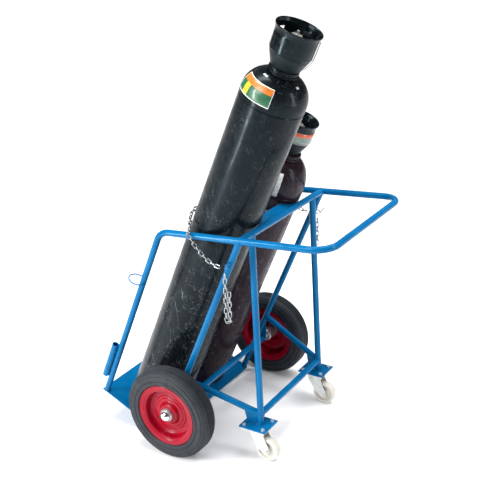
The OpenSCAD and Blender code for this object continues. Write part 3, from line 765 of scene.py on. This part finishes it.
class CART_OT_welds(bpy.types.Operator):
    """Lays the rippled weld beads where the tubes meet each other and the plates"""
    bl_idname = "cart.welds"
    bl_label = "Weld beads"

    def execute(self, context):
        low, high = (Vector(c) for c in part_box("top_crossbar"))
        tube = (high.x - low.x) / 2
        bar = (low + high) / 2
        hoop_low, hoop_high = (Vector(c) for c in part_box("hoop_tube"))
        handle = hoop_high - Vector((tube, tube, tube))
        rail_way = Vector((handle.x - bar.x, 0, handle.z - bar.z)).normalized()
        upright = Vector((hoop_low.x + tube * math.cos(LEAN), 0, hoop_low.z + tube * math.sin(LEAN)))
        cross = sum((Vector(c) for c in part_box("low_crossbar")), Vector()) / 2
        seams = []
        for side, sign in SIDES:
            rail = Vector((bar.x, sign * handle.y, bar.z))
            seams.append(seam(bar, SIDE * sign, tube, to_tube(rail, rail_way, tube)))
            back = tube_axis("back_tube_" + side, tube, (1, 0, 1))[0]
            seams.append(seam(back, UP, tube, to_tube(rail, rail_way, tube)))
            leg, leg_way = tube_axis("leg_" + side, tube, (-1, -sign, 1))
            seams.append(seam(leg, leg_way, tube, to_tube(bar, SIDE, tube)))
            plate_top = Vector(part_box("castor_plate_" + side)[1])
            seams.append(seam(leg, -leg_way, tube, to_plane(plate_top, Vector((0, 0, 1)))))
            rail_low, rail_low_way = tube_axis("low_rail_" + side, tube, (-1, sign, 1))
            seams.append(seam(rail_low, rail_low_way, tube, to_tube(back, UP, tube)))
            seams.append(seam(rail_low, -rail_low_way, tube, to_tube(leg, leg_way, tube)))
            seams.append(seam(cross, SIDE * sign, tube, to_tube(leg, leg_way, tube)))
            foot = Vector((upright.x, sign * handle.y, upright.z))
            seams.append(seam(foot + UP * 0.1, -UP, tube, to_plane(foot, UP)))
            seams.append(seam(back, -UP, tube, to_plane(foot, UP)))
        curve = bpy.data.curves.new("weld_path", "CURVE")
        curve.dimensions = "3D"
        curve.bevel_depth = BEAD_RADIUS * MM
        curve.bevel_resolution = 2
        for points in seams:
            spline = curve.splines.new("POLY")
            spline.points.add(len(points) - 1)
            spline.use_cyclic_u = True
            for i, (point, spot) in enumerate(zip(spline.points, points)):
                point.co = (*spot, 1)
                point.radius = 1 + BEAD_RIPPLE * math.sin(2 * math.pi * i / 4)
        path = bpy.data.objects.new("weld_path", curve)
        bm = bmesh.new()
        bm.from_mesh(path.to_mesh())
        path.to_mesh_clear()
        bpy.data.objects.remove(path)
        bpy.data.curves.remove(curve)
        finish_mesh("weld_beads", bm, "frame", "blue", smooth=70)
        return {"FINISHED"}


# ---------------------------------------------------------------- stage

# Lamps: name, kind, place, power, and the angle of a sun in degrees or the sides of a softbox in metres.
LAMPS = (("key_lamp", "SUN", (-0.9, -2.2, 2.6), 1.7, 30),
         ("crown_lamp", "SUN", (0.5, 0.6, 3.4), 1.9, 50),
         ("overhead_softbox", "AREA", (0.1, 0.1, 3.3), 85, (0.5, 2.8)),
         ("tall_softbox", "AREA", (-1.9, -3.0, 1.7), 140, (0.5, 3.2)),
         ("side_softbox", "AREA", (2.9, 0.2, 1.5), 30, (0.4, 2.4)))
LAMP_TARGET = Vector((0, 0, 0.8))
SKY_IN_GLOSS = 0.3
CAMERA_SPOT = (1.7004, -2.7321, 2.0423)
CAMERA_RIGHT = Vector((0.8559, 0.5166, -0.0241))
CAMERA_BACK = Vector((0.4869, -0.7891, 0.3745))


class CART_OT_stage(bpy.types.Operator):
    """Sets the pale floor, the soft lights and the camera"""
    bl_idname = "cart.stage"
    bl_label = "Stage"

    def execute(self, context):
        scene, sizes = context.scene, context.scene.stage_sizes
        mat, tree, shader, place = new_material("White sweep", Base_Color=(0.9, 0.9, 0.91), Roughness=0.6)
        tone = mix(tree, noise(tree, place, 3, 3), (0.89, 0.89, 0.9), (0.92, 0.92, 0.93))
        tree.links.new(tone, shader.inputs["Base Color"])
        bm = bmesh.new()
        bmesh.ops.create_grid(bm, x_segments=2, y_segments=2, size=sizes.floor_size / 2)
        mesh = bpy.data.meshes.new("floor")
        bm.to_mesh(mesh)
        bm.free()
        mesh.materials.append(mat)
        floor = bpy.data.objects.new("floor", mesh)
        scene.collection.objects.link(floor)

        world = bpy.data.worlds.new("studio")
        scene.world = world
        world.use_nodes = True
        sky = world.node_tree.nodes["Background"]
        sky.inputs["Color"].default_value = (0.96, 0.98, 1.0, 1)
        ray = world.node_tree.nodes.new("ShaderNodeLightPath")
        dimmer = world.node_tree.nodes.new("ShaderNodeMapRange")
        dimmer.inputs["To Min"].default_value = sizes.sky
        dimmer.inputs["To Max"].default_value = sizes.sky * SKY_IN_GLOSS
        world.node_tree.links.new(ray.outputs["Is Glossy Ray"], dimmer.inputs["Value"])
        world.node_tree.links.new(dimmer.outputs["Result"], sky.inputs["Strength"])

        for name, kind, spot, power, spread in LAMPS:
            light = bpy.data.lights.new(name, kind)
            light.energy = power
            if kind == "SUN":
                light.angle = math.radians(spread)
            else:
                light.shape = "RECTANGLE"
                light.size, light.size_y = spread
            lamp = bpy.data.objects.new(name, light)
            scene.collection.objects.link(lamp)
            lamp.location = spot
            lamp.visible_glossy = name != "crown_lamp"
            lamp.rotation_euler = (LAMP_TARGET - Vector(spot)).to_track_quat("-Z", "Y").to_euler()

        data = bpy.data.cameras.new("view")
        data.sensor_width = 36
        data.lens = sizes.lens
        data.clip_end = 100
        cam = bpy.data.objects.new("view", data)
        scene.collection.objects.link(cam)
        back = CAMERA_BACK.normalized()
        above = back.cross(CAMERA_RIGHT.normalized()).normalized()
        right = above.cross(back)
        turn = Matrix((right, above, back)).transposed().to_4x4()
        cam.matrix_world = Matrix.Translation(CAMERA_SPOT) @ turn
        scene.camera = cam
        scene.view_settings.view_transform = "Standard"
        return {"FINISHED"}


# ---------------------------------------------------------------- add-on

STEPS = (CART_OT_finish_frame, CART_OT_tyres, CART_OT_rims, CART_OT_castor_wheels, CART_OT_cylinders,
         CART_OT_guards, CART_OT_strap, CART_OT_labels, CART_OT_welds, CART_OT_stage)
GROUPS = {"cart_paint": CartPaint, "wheel_sizes": WheelSizes, "cylinder_sizes": CylinderSizes,
          "stage_sizes": StageSizes}


class CART_PT_panel(bpy.types.Panel):
    """The cart's sizes and paints, and a button for every step"""
    bl_idname = "CART_PT_panel"
    bl_label = "Gas cylinder cart"
    bl_space_type = "VIEW_3D"
    bl_region_type = "UI"
    bl_category = "Cart"

    def draw(self, context):
        for name, group in GROUPS.items():
            box = self.layout.box()
            for prop in group.__annotations__:
                box.prop(getattr(context.scene, name), prop)
        for step in STEPS:
            self.layout.operator(step.bl_idname)


def register():
    for cls in (*GROUPS.values(), *STEPS, CART_PT_panel):
        bpy.utils.register_class(cls)
    for name, group in GROUPS.items():
        setattr(bpy.types.Scene, name, PointerProperty(type=group))


def unregister():
    for name in GROUPS:
        delattr(bpy.types.Scene, name)
    for cls in reversed((*GROUPS.values(), *STEPS, CART_PT_panel)):
        bpy.utils.unregister_class(cls)


def main():
    register()
    for step in STEPS:
        area, action = step.bl_idname.split(".")
        getattr(getattr(bpy.ops, area), action)()


if __name__ == "__main__":
    main()
